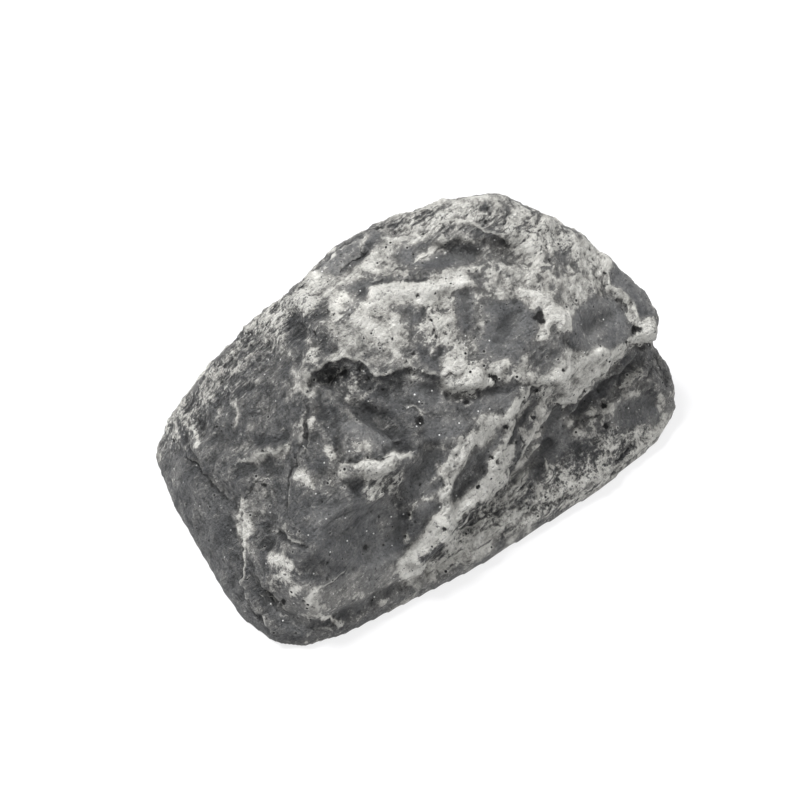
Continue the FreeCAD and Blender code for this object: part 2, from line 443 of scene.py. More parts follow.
# %% Steps and cracks
STEP_SHARPNESS = 2.5
STEPS = {
    "upper mass over the slab": (0.8, 12, "430,562 447,535 458,522 468,508 482,499 500,482 511,463 "
        "521,451 531,437 541,424 551,411 563,405 575,400 584,391 591,382 601,374 611,362 620,351 "
        "627,343 641,345 657,345"),
    "inner step": (0.9, 10, "498,462 505,447 511,436 518,423 519,413 526,404 533,388 546,383"),
    "front left edge": (0.9, 12, "240,500 243,545 241,580 242,600 250,612 268,630"),
    "left shelf": (0.5, 9, "243,463 255,459 263,457 275,453 290,448"),
    "crown over the front": (0.8, 12, "309,381 330,363 345,359 360,363 375,378 395,373 410,369 "
        "440,381 450,377"),
    "ridge": (0.8, 12, "303,445 306,410 306,395 309,381"),
    "wedge rim": (-0.8, 9, "345,462 362,461 376,460 388,457 408,452"),
    "upper left facet": (-0.7, 9, "306,281 330,257 350,244 372,231"),
    "crest line": (0.5, 9, "423,228 440,226 470,226 500,240"),
    "small step": (0.5, 8, "447,530 446,505 449,482 459,463 468,446"),
    "slab edge": (0.6, 8, "500,530 540,505 590,487 612,470 640,452 667,427"),
    "crest right": (0.6, 9, "604,262 610,290 625,299 633,312 640,334"),
}
CRACKS = {
    "front groove": (0.18, 2.2, "375,284 400,280 428,279"),
    "left crease": (0.5, 2.5, "184,450 200,470 212,485 230,505"),
    "low left crevice": (0.5, 2.5, "247,603 258,620"),
    "double crease": (0.35, 1.8, "303,445 298,455 288,475 283,490 283,505"),
    "pitted zone crack": (0.5, 2, "333,384 345,373"),
    "crevice behind the facet": (0.6, 2.5, "342,270 350,262 358,257 366,251"),
    "right crack": (0.5, 2.2, "656,355 662,368 668,382"),
    "slab crack": (0.4, 2, "645,376 653,367"),
    "slab crevice": (0.6, 3, "615,461 624,455 634,447"),
    "slab line": (0.4, 1.6, "588,486 600,478 612,470"),
    "cleft": (0.6, 2.2, "519,440 517,454 512,463 507,471"),
    "ridge crack": (0.5, 2, "308,385 305,410 306,440"),
    "leaf crack": (0.4, 1.8, "575,425 588,418 600,415"),
    "crest slot": (0.5, 2.2, "512,261 528,259"),
    "top line": (0.4, 1.6, "423,226 440,224"),
}

WAVER = 6.0
LINE_WAVER = 0.65
WAVER_SIZE = 3.2
RAG = 2.6
RAG_SIZE = 1.15
OFFSET_ONE = np.array([31.0, 7.0, 3.0])
OFFSET_TWO = np.array([5.0, 43.0, 17.0])


def shifts(first_offset, second_offset, size, octaves):
    """Noise across and down the frame, in unlike places so that the two differ."""
    return np.column_stack([soft_noise(points + first_offset, size, octaves),
                            soft_noise(points + second_offset, size, octaves)])


waver = WAVER * shifts(OFFSET_ONE, OFFSET_TWO, WAVER_SIZE, 4)
ragged_view = view + LINE_WAVER * waver + RAG * shifts(OFFSET_TWO, OFFSET_ONE, RAG_SIZE, 2)
for height, fade, path in STEPS.values():
    upper = ramp(side_of(path, ragged_view), -STEP_SHARPNESS, STEP_SHARPNESS) - 0.5
    near = ramp(reach(path, 2 * fade, ragged_view), 0.0, 1.5 * fade)
    relief += height * upper * near * seen
for depth_of_crack, width, path in CRACKS.values():
    away = np.maximum(-reach(path, at=ragged_view), 0)
    relief -= depth_of_crack * np.exp(-away / width) * seen
print(len(STEPS), "steps and", len(CRACKS), "cracks")

# %% [markdown]
# The foot of a step and a crack are thinner than the net can show. The finish draws them, from the
# signed distance to the nearest such line in units of the line's width, and paints the foot dark as
# the shade in the crease. The sign tells the side that stands proud, where the brush leaves a thin
# bright rim; this rim is paint and also a painted highlight on the edge. A few lines are too fine to
# be cut at all and are only drawn; they have the strength of the rim, the width in millimetres and
# the path, and a negative strength puts the rim on the path's right.

# %% Crease lines
CREASE_LIMIT = 5.0
STEP_LINE_WIDTH = 0.24
STEP_RIM = 0.8
CRACK_LINE_WIDTH = 0.19
CRACK_RIM = 0.25
CRACK_FOOT_GAIN = 1.6
FAR_AWAY = 99.0
FOOT_FADES = (0.9, 0.5)
RIM_FADES = (1.3, 0.8)
FINE_LINES = {
    "arc ledge": (0.8, 0.18, "246,497 250,487 259,482"),
    "second rib edge": (-0.7, 0.22, "530,436 521,452 512,466 502,482 490,496"),
    "sub rib": (-0.8, 0.18, "541,425 531,435 523,450"),
    "vein left": (0.6, 0.18, "462,455 453,471 446,490 442,512"),
    "slab streak one": (0.8, 0.2, "505,508 490,517 474,522 460,531"),
    "slab streak two": (0.7, 0.18, "500,524 482,531 466,537"),
    "slab streak three": (0.8, 0.18, "493,540 476,549 458,553"),
    "slab streak four": (0.6, 0.18, "470,560 450,567 432,575"),
    "slab curve": (-0.8, 0.22, "549,463 553,474 545,485 537,499"),
    "slab curve two": (-0.8, 0.22, "526,474 520,486 508,499"),
    "arris one": (0.7, 0.2, "560,502 580,493 603,480"),
    "arris two": (0.7, 0.2, "612,476 636,458 660,436"),
    "left slope one": (0.5, 0.16, "262,330 240,352 216,374"),
    "left slope two": (0.4, 0.14, "232,372 206,396 184,420"),
    "left drip": (0.5, 0.16, "172,420 174,436 180,448"),
    "low slit": (0.6, 0.22, "274,532 288,541 304,546"),
    "low left sweep": (0.6, 0.2, "262,598 276,616 298,628 330,632"),
    "low left sweep two": (0.5, 0.16, "272,600 286,612 306,618"),
    "front lip": (0.5, 0.16, "318,592 332,583 346,572"),
    "big pit": (0.35, 0.2, "408,408 418,413 428,415"),
    "crown chain": (0.5, 0.16, "431,316 434,327 437,339"),
    "top rim": (0.5, 0.16, "382,219 410,213 438,207"),
    "valley rim": (0.6, 0.18, "418,260 430,252 446,246"),
    "back streak": (0.5, 0.16, "516,216 543,228 570,243"),
    "facet streak": (0.4, 0.12, "352,262 362,247 371,233"),
}

LINES = [(math.copysign(STEP_RIM, height), abs(height), STEP_LINE_WIDTH, path)
         for height, fade, path in STEPS.values()]
LINES += [(CRACK_RIM, CRACK_FOOT_GAIN * depth_of_crack, CRACK_LINE_WIDTH, path)
          for depth_of_crack, width, path in CRACKS.values()]
LINES += [(rim, abs(rim), width, path) for rim, width, path in FINE_LINES.values()]

# These fields carry the painted shade of each crease foot and the paint and painted highlight of its
# rim.
crease = np.full(len(points), CREASE_LIMIT)
crease_distance = np.full(len(points), FAR_AWAY)
rim_paint_and_highlight = np.zeros(len(points))
foot_groove_and_shade = np.zeros(len(points))
for rim, foot, width, path in LINES:
    signed = side_of(path, ragged_view) * px_to_mm * math.copysign(1.0, rim)
    closer = (np.abs(signed) < crease_distance) & (seen > SEEN_ENOUGH)
    crease_distance = np.where(closer, np.abs(signed), crease_distance)
    crease = np.where(closer, np.clip(signed / width, -CREASE_LIMIT, CREASE_LIMIT), crease)
    rim_paint_and_highlight = np.where(closer, abs(rim), rim_paint_and_highlight)
    foot_groove_and_shade = np.where(closer, min(foot, 1.0), foot_groove_and_shade)
foot_groove_and_shade *= ramp(-crease_distance, -FOOT_FADES[0], -FOOT_FADES[1])
rim_paint_and_highlight *= ramp(-crease_distance, -RIM_FADES[0], -RIM_FADES[1])
print(len(LINES), "crease lines")

# %% [markdown]
# Bubbles in the resin leave round pits. The largest are listed, grouped by their radius in pixels.
# How far inside a pit each point lies is kept, so that the finish can paint the shade in the pit
# right to its edge, finer than the net.

# %% Pits
PIT_DEPTH = 0.8
PIT_SHRINK = 0.8
PIT_BRIM = 1.5
PIT_FIELD_LIMIT = 1.0
PITS = {
    2: ("333,314 350,315 405,289 428,305 434,294 402,335 392,339 425,340 405,362 370,342 452,332 "
        "457,357 436,337 490,226 592,248 596,258 605,273 607,285 597,358 605,358 274,485 304,601 "
        "380,518 374,522 429,531 435,524 415,522 421,485 440,467 450,477 516,442 506,487 585,392 "
        "630,408 624,449 665,412 583,422 368,457 168,425 165,440 214,470 338,372 352,384 564,389 "
        "328,563 330,555 345,590 372,600 312,622 503,388"),
    3: ("315,334 250,333 327,311 417,296 413,353 431,320 434,330 485,222 550,260 544,322 633,332 "
        "618,300 656,330 561,370 491,376 497,382 625,342 266,452 263,485 328,579 383,459 409,516 "
        "405,537 440,526 455,455 478,487 534,418 491,457 531,487 598,391 350,461 162,432 172,440 "
        "199,428 487,208 330,380 345,368 358,371 368,380 538,391"),
    4: "536,317 283,603 467,401 367,548 505,427 605,404 607,426",
    5: "540,314 541,320 636,329 495,378",
    7: "420,421",
}

pit_field = np.full(len(points), -PIT_FIELD_LIMIT)
for radius, path in PITS.items():
    for place in path.split():
        inside_by = reach(place, radius * PIT_SHRINK)
        near_field = np.where(seen > SEEN_ENOUGH, inside_by * px_to_mm, -PIT_FIELD_LIMIT)
        pit_field = np.maximum(pit_field, near_field)
        relief -= PIT_DEPTH * radius * px_to_mm * ramp(inside_by, -PIT_BRIM, radius) * seen
pit_field = np.clip(pit_field, -PIT_FIELD_LIMIT, PIT_FIELD_LIMIT)
print(sum(len(path.split()) for path in PITS.values()), "pits of", len(PITS), "sizes")

# %% [markdown]
# All of this relief is one height over the rounded stone, and every outside point moves along
# its normal by it. Near the base it fades out, so that the stone still stands flat. It leaves a
# wall round the pocket, and no point leaves the box of the plain solid.

# %% Put the relief on
RELIEF_FADES_BELOW = 3.0
POCKET_CLEARANCE = 1.2
LEAST_WALL = 1.3

normals = read_rows(rock.data.vertex_normals, "vector", 3)
footing = ramp(points[:, 2], 0.0, RELIEF_FADES_BELOW)
pocket_middle = (pocket_low + pocket_high) / 2
pocket_half = (pocket_high - pocket_low) / 2 + POCKET_CLEARANCE
wall = np.linalg.norm(np.maximum(np.abs(points - pocket_middle) - pocket_half, 0), axis=1)
relief = np.maximum(relief, -np.maximum(wall - LEAST_WALL, 0.0))
print("least wall before the relief", wall[outside].min().round(2), "mm")
points = points + normals * (relief * footing * outside)[:, None]
points = np.clip(points, LOW, HIGH)
store(rock.data, points)
normals = read_rows(rock.data.vertex_normals, "vector", 3)
view = view_of(points)[0]
print("stone box", points.min(0).round(2), points.max(0).round(2))

# %% [markdown]
# A nearly dry brush leaves paint on what stands proud and skips what lies deep. The paint field
# says how much brush each place got: above zero it is painted, below zero bare, and near zero
# the fine relief decides. It starts from how far each point faces up, and then marks laid one
# after another, as brush strokes are, raise it or wipe it off again. A region has its level, the
# softness of its edge in pixels and its outline; a stroke or a wipe has its half width as well.

# %% Regions, strokes and wipes
REGIONS = {
    "front and left": (-0.62, 14, "150,470 235,330 300,380 305,370 440,390 520,450 440,570 380,640 "
        "280,660 150,470"),
    "crown": (0.14, 10, "285,300 300,280 345,262 372,282 470,268 520,262 570,262 600,280 612,300 "
        "640,322 626,344 600,372 575,398 545,382 528,392 505,420 470,440 440,392 420,372 395,372 "
        "360,360 340,360 310,380 300,350 285,300"),
    "crest": (0.18, 10, "345,262 340,240 385,213 440,200 500,194 540,205 600,240 612,275 600,285 "
        "570,262 520,262 470,268 372,282 345,262"),
    "slab": (-0.16, 12, "520,452 545,412 600,375 625,345 657,348 675,385 678,430 560,510 430,580 "
        "455,530 520,452"),
    "slab edge": (0.2, 8, "455,535 500,500 540,488 570,462 600,440 640,428 668,412 676,430 610,485 "
        "500,545 440,580 455,535"),
}
STROKES = {
    # crown and left shoulder
    "left blob": (0.6, 9, 6, "294,306 306,306"),
    "left blob tail": (0.5, 6, 5, "285,310 272,322 258,334"),
    "left hollow": (-1, 12, 5, "296,325 300,342"),
    "shoulder spot": (0.8, 4, 3, "315,350"),
    "pit rim": (0.8, 2.5, 2, "307,344 313,339"),
    "rim over the ridge": (0.7, 3, 3, "345,353 330,361 318,369 309,381"),
    "ring spot": (0.9, 5, 3, "333,314"),
    "crown left white": (0.6, 9, 6, "350,268 360,262"),
    "big white left": (0.6, 14, 8, "318,290 340,300"),
    "band middle": (1.1, 10, 7, "398,294 436,292"),
    "white band": (1.2, 8, 5, "375,294 400,291 430,286 466,279"),
    "white under the band": (0.85, 14, 9, "368,318 390,338 385,318"),
    "white middle": (0.35, 12, 9, "440,312 445,345 462,365"),
    "white lower middle": (0.95, 14, 8, "455,378 478,383 496,372"),
    "tail down": (0.6, 6, 5, "447,390 455,405 462,396"),
    "white right middle": (0.05, 12, 8, "480,282 510,276 535,272"),
    "crescent": (1.4, 6, 3, "522,297 536,296 549,302 558,313 562,326"),
    "crescent middle": (1.4, 6, 3, "550,308 553,318 549,328"),
    "pit tail": (1.1, 4, 3, "549,324 543,335 537,342"),
    "white beside the pit": (0.5, 6, 4, "528,300 530,310"),
    "thin ridge": (0.35, 2, 2, "566,322 565,335 569,348"),
    "crest edge": (1.15, 3.5, 3, "604,262 609,288 624,299 632,311 638,325"),
    "nose": (0.55, 7, 5, "647,326 652,336"),
    "ledge rim": (1.5, 4.5, 1.5, "642,337 626,344 615,355 604,368 592,380 583,389 574,398 562,404"),
    "ledge white": (0.9, 6, 5, "582,373 600,358"),
    "ledge mottle": (0.8, 12, 8, "556,376 582,370"),
    "ledge low white": (0.6, 5, 4, "566,398 580,385"),
    # crest
    "peak": (0.4, 9, 6, "470,203 500,203 516,212"),
    "peak blot": (-0.8, 5, 4, "487,208"),
    "top rim": (0.35, 5, 4, "380,218 410,210 440,205"),
    "top light line": (0.6, 3, 3, "380,239 405,243 416,240 421,235"),
    "valley crescent": (0.6, 6, 4, "420,256 432,249 444,246"),
    "back streaks": (0.35, 7, 6, "515,214 545,226 572,242"),
    "back dark": (-0.7, 7, 6, "472,234 498,233"),
    "right white band": (0.6, 8, 6, "520,240 550,238 580,250 602,264"),
    "facet streak": (0.2, 2.5, 2, "363,246 370,233"),
    # left face
    "upper left streaks": (0.3, 9, 7, "282,308 262,328"),
    "left rim": (0.7, 8, 7, "246,348 236,362 208,386"),
    "left rim low": (0.05, 7, 7, "205,390 172,425"),
    "left bright": (0.6, 4, 4, "210,372"),
    "left drip one": (0.9, 3, 2, "175,424 176,436"),
    "left drip two": (0.9, 3, 2, "195,428 197,440"),
    "left drip three": (0.8, 3, 2, "219,408 219,416"),
    "left drip four": (0.7, 2.5, 2, "234,403 235,428"),
    "left drip five": (0.7, 3, 2, "185,416 186,424"),
    "soft light patch": (0.15, 9, 8, "270,388 288,387"),
    "soft streak": (0.35, 2.5, 2, "293,365 298,378"),
    "left shelf": (0.5, 4, 3, "268,451 290,450"),
    "left shelf line": (0.7, 2, 2, "243,462 255,458 263,456"),
    "edge line": (0.75, 2.2, 2, "240,502 241,520 244,548 243,562 240,585 243,600 251,612 267,630"),
    "edge white": (0.35, 4, 4, "246,518 250,532"),
    "left bits": (0.8, 2.5, 2, "243,383"),
    "left bits two": (0.8, 2.5, 2, "266,410"),
    "left bits three": (0.7, 2.5, 2, "282,430"),
    "chip one": (1, 2.5, 2, "310,420 313,417"),
    "chip two": (1, 2.2, 2, "316,411 318,408"),
    "chip three": (0.9, 2.2, 2, "348,398 351,399"),
    # lower left
    "front lip veil": (-0.22, 15, 10, "296,612 326,602 356,590 396,580"),
    "front lip swirl": (-0.05, 4, 5, "282,606 312,606 340,596 352,580"),
    "low left speckle": (-0.35, 14, 8, "285,585 300,590"),
    "low left patch": (1.3, 6, 2, "276,555 284,562 290,566"),
    "low left spots": (1, 3.2, 2, "281,576 285,579"),
    "low left spots two": (1.2, 3, 1, "297,586 293,595"),
    "low left spots three": (0.9, 3, 2, "268,592"),
    "low left line": (1, 2.8, 2, "320,589 314,593 308,601"),
    "slit streak": (0.4, 2, 2, "276,529 291,536 304,541"),
    "low chips": (1.2, 2.5, 1, "321,622 326,619"),
    "low chips two": (1.2, 2.5, 1, "332,618 339,622"),
    "mid left rough": (0.35, 9, 6, "305,478 316,484"),
    # front
    "wedge bright": (1.2, 7, 5, "333,456"),
    "wedge below": (0.35, 7, 6, "334,470 332,486"),
    "wedge rim": (1.2, 3, 2, "358,463 378,461 389,457 408,452"),
    "wedge white": (0.8, 10, 6, "372,472 384,474"),
    "wedge low": (0.4, 9, 8, "378,490 396,478"),
    "wedge light": (0.2, 6, 6, "350,450 365,447"),
    "front spot": (0.2, 5, 4, "383,522"),
    "ring one": (0.8, 4, 2, "409,516"),
    "ring two": (0.5, 4, 2, "405,537"),
    "pit rim left": (0.7, 3, 2, "409,404 418,413"),
    "pit rim right": (0.7, 2.5, 2, "428,416 432,415"),
    "vein top": (0.45, 4, 3, "425,449 440,444 455,441"),
    "vein join": (1.2, 8, 5, "462,444 475,439 486,434"),
    "vein": (1.3, 7, 4, "466,446 459,462 450,480 447,498 447,520"),
    "vein foot": (1.3, 15, 6, "448,528 432,546 412,566"),
    "vein branch": (0.6, 4, 4, "440,468 445,476"),
    "olive leaf": (-1, 5, 3, "425,559 440,547"),
    "rib top": (0.75, 8, 5, "525,405 517,420 508,440"),
    "rib white": (0.6, 8, 6, "500,420 492,415"),
    "between rib and slab": (0.4, 7, 6, "534,448 522,466"),
    "inner shelf": (0.45, 8, 6, "545,398 536,418"),
    "rib middle": (1.45, 12, 5, "513,452 502,470 488,487"),
    "rib low": (1.4, 9, 5, "488,487 470,500 456,520"),
    "rib side": (0.7, 5, 3, "538,428 528,440 519,453"),
    "light streak": (0.3, 3, 3, "414,507 434,498"),
    # slab
    "slab white one": (1.3, 12, 6, "462,546 488,536"),
    "under the ledge veil": (0.05, 12, 9, "642,364 618,384"),
    "slab foot": (0.5, 8, 7, "436,572 466,556"),
    "slab white low": (0.5, 8, 6, "484,548 508,536"),
    "slab white two": (0.6, 9, 6, "500,533 510,515"),
    "slab curve": (0.8, 4, 3, "549,466 552,476 543,486 537,497"),
    "slab curve two": (0.8, 4, 3, "525,478 516,489 507,498"),
    "slab blob": (0.7, 6, 4, "573,413 573,419"),
    "slab blob two": (0.7, 6, 4, "582,432 578,437"),
    "slab streak": (0.35, 5, 5, "609,404 602,420"),
    "slab band": (0.6, 8, 6, "565,490 580,484 600,474"),
    "slab edge line": (0.7, 3, 3, "600,478 620,464 642,449 667,425"),
    "slab white three": (0.5, 5, 5, "630,436 646,434"),
    "slab white four": (0.5, 2.5, 2, "660,398 665,412 667,420"),
}
# Some wipes paint shade: the shadow under the crown, the ledge shadow and the slab under the ledge
# leave the stone bare and dark where shade falls.
WIPES = {
    "shadow under the crown": (-0.65, 12, 8, "326,373 350,377 372,387 392,400"),
    "dark branch": (-1, 6, 3, "420,351 428,360 436,374"),
    "dark branch two": (-1, 4.5, 3, "443,349 436,363"),
    "dark crevice": (-1, 4, 3, "342,270 350,262 366,251"),
    "groove": (-1, 2.5, 2, "375,284 400,280 428,279"),
    "ledge shadow": (-0.9, 7, 5, "247,469 268,467 288,462"),
    "slab under the ledge": (-0.8, 6, 3, "645,352 632,360 616,378 596,396 574,412"),
    "above the low patch": (-1, 15, 9, "286,510 303,536"),
    "beside the ridge": (-0.85, 12, 8, "328,404 334,428"),
    "left face": (-0.6, 16, 12, "250,350 262,370 258,400"),
    "beside the pit": (-0.7, 9, 6, "555,336 555,354"),
    "right of the big pit": (-0.9, 13, 7, "438,408 464,414 454,430"),
    "above the rib": (-0.95, 9, 6, "492,398 510,396"),
    "under the big pit": (-1, 12, 7, "408,440 430,434"),
    "above the big pit": (-0.9, 12, 8, "402,404 432,396"),
    "left slab": (-1, 18, 10, "186,470 206,520 226,575 250,628"),
    "low left end": (-0.8, 9, 6, "258,598 272,620 292,634"),
    "left of the low patch": (-0.75, 8, 6, "258,540 258,580"),
    "under the rib": (-0.1, 7, 6, "470,520 490,506 508,492"),
    "slab foot shade": (-0.35, 5, 5, "440,577 472,564 506,546"),
    "round the low patch": (-0.7, 6, 4, "298,548 306,566 300,578"),
    "slab middle": (-0.9, 12, 8, "562,446 580,452"),
    "under the front edge": (-1, 14, 8, "290,526 304,550"),
    "right of the branch": (-0.6, 8, 6, "536,352 544,366"),
    "under the crown right": (-0.8, 10, 7, "484,402 500,400"),
    "front shoulder": (-0.7, 12, 9, "212,462 236,486 222,448"),
    "slab crevice": (-1, 3, 2, "615,461 634,447"),
    "inner step dark": (-0.9, 3, 2, "533,402 518,425 508,445"),
    "cleft": (-1, 3, 2, "519,440 516,456 507,471"),
    "between veins": (-0.6, 6, 5, "455,500 470,478 482,462"),
}
print(len(REGIONS), "regions,", len(STROKES), "strokes and", len(WIPES), "wipes")

# %% [markdown]
# Seen from the camera, these marks waver as the steps do. A region adds its level to the drift of
# the bare field, so it stays uneven. What the camera does not see keeps the bare field.

# %% The paint field
FIELD_LIMIT = 1.5
SOFTEN = 2.6
UPWARD_PAINT = 0.55
BARE_START = -0.55
PATCH_SIZE = 7.0
PATCH_SPREAD = 0.55
SMOOTH_LEVEL = -0.85
SMOOTH_PAINT_EDGE = 0.3 * SMOOTH_EDGE

drift = soft_noise(points, PATCH_SIZE, 2) * PATCH_SPREAD
unseen_paint = BARE_START + UPWARD_PAINT * normals[:, 2] + drift
wavering_view = view + waver


def lay(field, level, outer, inner, path, half_width=0.0):
    """Pull the field to a level inside a mark, from an outer to an inner edge in pixels."""
    return field + (level - field) * ramp(reach(path, half_width, wavering_view), -outer, inner)


paint = unseen_paint
for level, softness, outline in REGIONS.values():
    paint = lay(paint, level + drift, softness, softness, outline)
for outline in SMOOTH_PATCHES.values():
    paint = lay(paint, SMOOTH_LEVEL, SMOOTH_EDGE, SMOOTH_PAINT_EDGE, outline)
for level, half_width, softness, path in [*STROKES.values(), *WIPES.values()]:
    edge = softness * SOFTEN / 2
    paint = lay(paint, level, edge, edge, path, half_width)
paint = unseen_paint + (paint - unseen_paint) * seen
paint = np.clip(paint, -FIELD_LIMIT, FIELD_LIMIT)
print("painted points", int((paint > 0).sum()), "bare points", int((paint < 0).sum()))

# %% [markdown]
# Another field comes from the shape itself. A point that lies below the mean of its
# neighbourhood is in a hollow, where the finish paints shade into the colour, and one above it
# stands proud, where the brush touches first. This is measured over a small and a larger
# neighbourhood.

# %% Hollow and proud places
NEAR_STEPS = 4
WIDE_STEPS = 32
NEAR_SPREAD = 0.06
WIDE_SPREAD = 0.30


def height_over(steps, spread):
    height = np.einsum("ij,ij->i", points - smoothed(points, steps), normals)
    return np.clip(height / spread, -1, 1)


stand = 0.5 * height_over(NEAR_STEPS, NEAR_SPREAD) + 0.5 * height_over(WIDE_STEPS, WIDE_SPREAD)
print("proud points", int((stand > 0.3).sum()), "hollow points", int((stand < -0.3).sum()))

# %% [markdown]
# In some places the stone split in streaks, and in others it broke into grit. Each such place has
# its half width and softness in pixels and its path.

# %% Streaky and speckled places
STREAK_EVERYWHERE = 0.35
STREAKY = {
    "rib and slab": (20, 20, "430,560 470,520 515,485"),
    "slab arris": (6, 8, "500,538 590,490 650,446"),
    "left face": (34, 30, "300,300 240,360 185,425"),
    "crest": (20, 20, "400,225 470,215 560,240"),
    "wedge foot": (12, 10, "372,495 395,478"),
}
SPECKLED = {
    "slab": (24, 16, "540,500 585,462 625,442"),
    "slab left": (10, 12, "505,522 530,505"),
    "low left": (16, 10, "285,585 305,585"),
    "left end": (10, 8, "166,430 172,445"),
    "under the crown": (14, 10, "330,372 365,380"),
}


def spread_over(least, marks):
    """A field of the least value that rises to one inside the marks."""
    field = np.full(len(points), least)
    for half_width, softness, path in marks.values():
        field = np.maximum(field, ramp(reach(path, half_width), -softness, softness) * seen)
    return field


streak = spread_over(STREAK_EVERYWHERE, STREAKY)
speckle = spread_over(0.0, SPECKLED)
print("streaky", int((streak > 0.6).sum()), "and speckled points", int((speckle > 0.5).sum()))

# %% [markdown]
# The sander left the base's two edges chipped: the edge of the pocket's mouth and the outer one.
# With these two fields the list is whole, and the mesh keeps each under the name that the
# finishes read it by.

# %% Fields kept on the mesh
EDGE_STEPS = 2

FIELDS = {
    "paint": paint,
    "stand": stand,
    "pit": pit_field,
    "crease": crease,
    "rim": rim_paint_and_highlight,
    "foot": foot_groove_and_shade,
    "smooth": smoothness,
    "streak": streak,
    "speckle": speckle,
    "mouth": smoothed(in_pocket.astype(float), EDGE_STEPS) * on_base,
    "arris": smoothed(outside.astype(float), EDGE_STEPS) * on_base,
}
for name, values in FIELDS.items():
    layer = rock.data.attributes.new(name, "FLOAT", "POINT")
    layer.data.foreach_set("value", values.astype(np.float32))
print("fields:", list(FIELDS))

# %% [markdown]
# Shader trees are easier to read when each node is made, set and joined in one line.

# %% Node helpers
FLOAT = "NodeSocketFloat"
COLOUR = "NodeSocketColor"
VECTOR = "NodeSocketVector"


class Shading:
    """A shader tree whose nodes are made, set and joined in one call each."""

    def __init__(self, tree):
        self.tree = tree

    def join(self, node, inputs):
        """Join each input to another node's output, or set it to a value."""
        for socket, value in inputs.items():
            if isinstance(value, bpy.types.NodeSocket):
                self.tree.links.new(value, node.inputs[socket])
            else:
                node.inputs[socket].default_value = value

    def add(self, kind, inputs=None, **settings):
        """Make a node; returns its outputs."""
        node = self.tree.nodes.new(kind)
        for setting, value in settings.items():
            setattr(node, setting, value)
        self.join(node, inputs or {})
        return node.outputs

    def math(self, operation, first, second=0.0, third=0.0):
        return self.add("ShaderNodeMath", {0: first, 1: second, 2: third}, operation=operation)[0]

    def times(self, first, second):
        return self.math("MULTIPLY", first, second)

    def times_plus(self, first, second, third):
        return self.math("MULTIPLY_ADD", first, second, third)

    def ease(self, value, edge, strength=None):
        """A soft step between the two values of an edge, from nothing to a strength or to one."""
        share = self.add("ShaderNodeMapRange", {
            "Value": value, "From Min": edge[0], "From Max": edge[1]},
            interpolation_type="SMOOTHSTEP")["Result"]
        return share if strength is None else self.times(share, strength)

    def between(self, share, first, second):
        return self.add("ShaderNodeMix", {0: share, 2: first, 3: second})[0]

    def mix(self, share, first, second, kind="MIX"):
        """Blend two colours."""
        return self.add("ShaderNodeMix", {0: share, 6: first, 7: second}, data_type="RGBA",
                        blend_type=kind)[2]

    def inside(self):
        """The place in the stone, in metres."""
        return self.add("ShaderNodeTexCoord")["Object"]

    def noise(self, place, scale, detail=3.0, roughness=0.55, distortion=0.0):
        return self.add("ShaderNodeTexNoise", {
            "Vector": place, "Scale": scale, "Detail": detail, "Roughness": roughness,
            "Distortion": distortion})["Fac"]

    def field(self, name):
        """A field that was kept on the mesh."""
        return self.add("ShaderNodeAttribute", attribute_name=name)["Fac"]

    def place(self, group, inputs):
        return self.add("ShaderNodeGroup", inputs, node_tree=group.tree)

    def surface(self, inputs):
        """End the tree with a shader."""
        shader = self.add("ShaderNodeBsdfPrincipled", inputs)[0]
        self.add("ShaderNodeOutputMaterial", {"Surface": shader})


# %% New groups and finishes


def new_group(name, inputs, outputs):
    """A node group; returns its tree, what it is given and the node of its results."""
    tree = bpy.data.node_groups.new(name, "ShaderNodeTree")
    for label, kind, default in inputs:
        tree.interface.new_socket(label, in_out="INPUT", socket_type=kind).default_value = default
    for label, kind in outputs:
        tree.interface.new_socket(label, in_out="OUTPUT", socket_type=kind)
    given = tree.nodes.new("NodeGroupInput").outputs
    return Shading(tree), given, tree.nodes.new("NodeGroupOutput")


def new_finish(name):
    finish = bpy.data.materials.new(name)
    finish.use_nodes = True
    finish.node_tree.nodes.clear()
    return finish, Shading(finish.node_tree)

# %% [markdown]
# Cast resin is never one even grey: stone flour settles in clouds, and fine grains show. All
# three finishes use the same group for this, each with its own colours and sizes. The sizes are
# in millimetres, and textures count per metre.

# %% Group: cast resin colour
PER_METRE = 1000.0
CLOUD = (4.0, 0.6, 0.4)
CLOUD_EDGE = (0.3, 0.7)
GRAIN = (2.0, 0.6)

group, given, result = new_group(
    "cast resin colour",
    [("Dark", COLOUR, (0.05, 0.05, 0.05, 1)), ("Light", COLOUR, (0.1, 0.1, 0.1, 1)),
     ("Cloud size", FLOAT, 6.0), ("Grain size", FLOAT, 0.6), ("Grain strength", FLOAT, 0.3)],
    [("Color", COLOUR), ("Grain", FLOAT)])
where = group.inside()
cloud_scale = group.math("DIVIDE", PER_METRE, given["Cloud size"])
grain_scale = group.math("DIVIDE", PER_METRE, given["Grain size"])
cloud_share = group.ease(group.noise(where, cloud_scale, *CLOUD), CLOUD_EDGE)
grain_noise = group.noise(where, grain_scale, *GRAIN)
cloudy = group.mix(cloud_share, given["Dark"], given["Light"])
grain_swing = group.times_plus(grain_noise, 2.0, -1.0)
grain_gain = group.times_plus(grain_swing, given["Grain strength"], 1.0)
toned = group.add("ShaderNodeVectorMath", {0: cloudy, "Scale": grain_gain}, operation="SCALE")
group.join(result, {"Color": toned[0], "Grain": grain_noise})
resin_group = group
print("group", group.tree.name, "has", len(group.tree.nodes), "nodes")

# %% [markdown]
# Tiny bubbles in the resin open as pinholes all over the casting, too small for the net. A cell
# texture gives each bubble a middle, and its random value decides which cells have one. The hole,
# the bowl round it and its rim end at so many radii from the middle.

# %% Group: pinholes
HOLE_EDGE = (1.15, 0.75)
BOWL_EDGE = (1.3, 0.2)
RIM_EDGE = (2.1, 1.3)
SMALLEST_HOLE = 0.5

